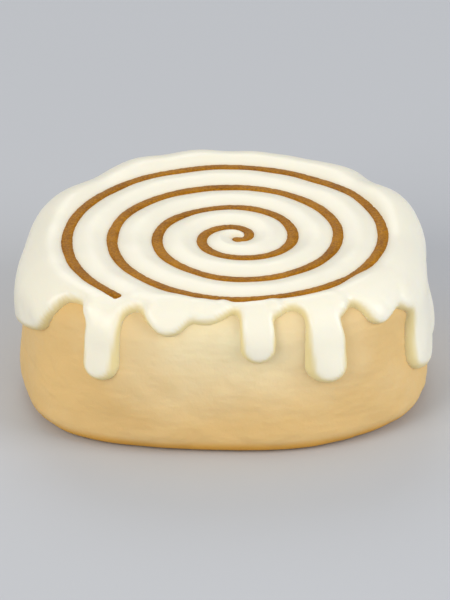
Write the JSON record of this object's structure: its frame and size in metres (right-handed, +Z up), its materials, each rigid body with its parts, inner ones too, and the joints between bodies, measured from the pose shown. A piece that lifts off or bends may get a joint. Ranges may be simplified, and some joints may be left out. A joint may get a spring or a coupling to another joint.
{
  "type": "iced cinnamon roll",
  "caption": "Round baked roll with a spiral of cinnamon filling through it and a thick cap of cream icing that drips down its sides.",
  "frame": {"origin": "middle of the outline at the level of the flat base that the roll rests on", "axes": "+Z up, away from the base; the shown front of the roll, with the outer end of the spiral to its left, faces -Y; +X is to the right seen from the front"},
  "size_m": [0.1152, 0.1054, 0.0466],
  "materials": {
    "dough": "baked yeast dough, golden, soft satin crust",
    "filling": "moist cinnamon and brown sugar paste, slightly granular",
    "icing": "set cream icing, smooth, satin gloss"
  },
  "bodies": {
    "root": {"dough": "dough", "cinnamon_filling": "filling", "icing": "icing"}
  },
  "joints": []
}
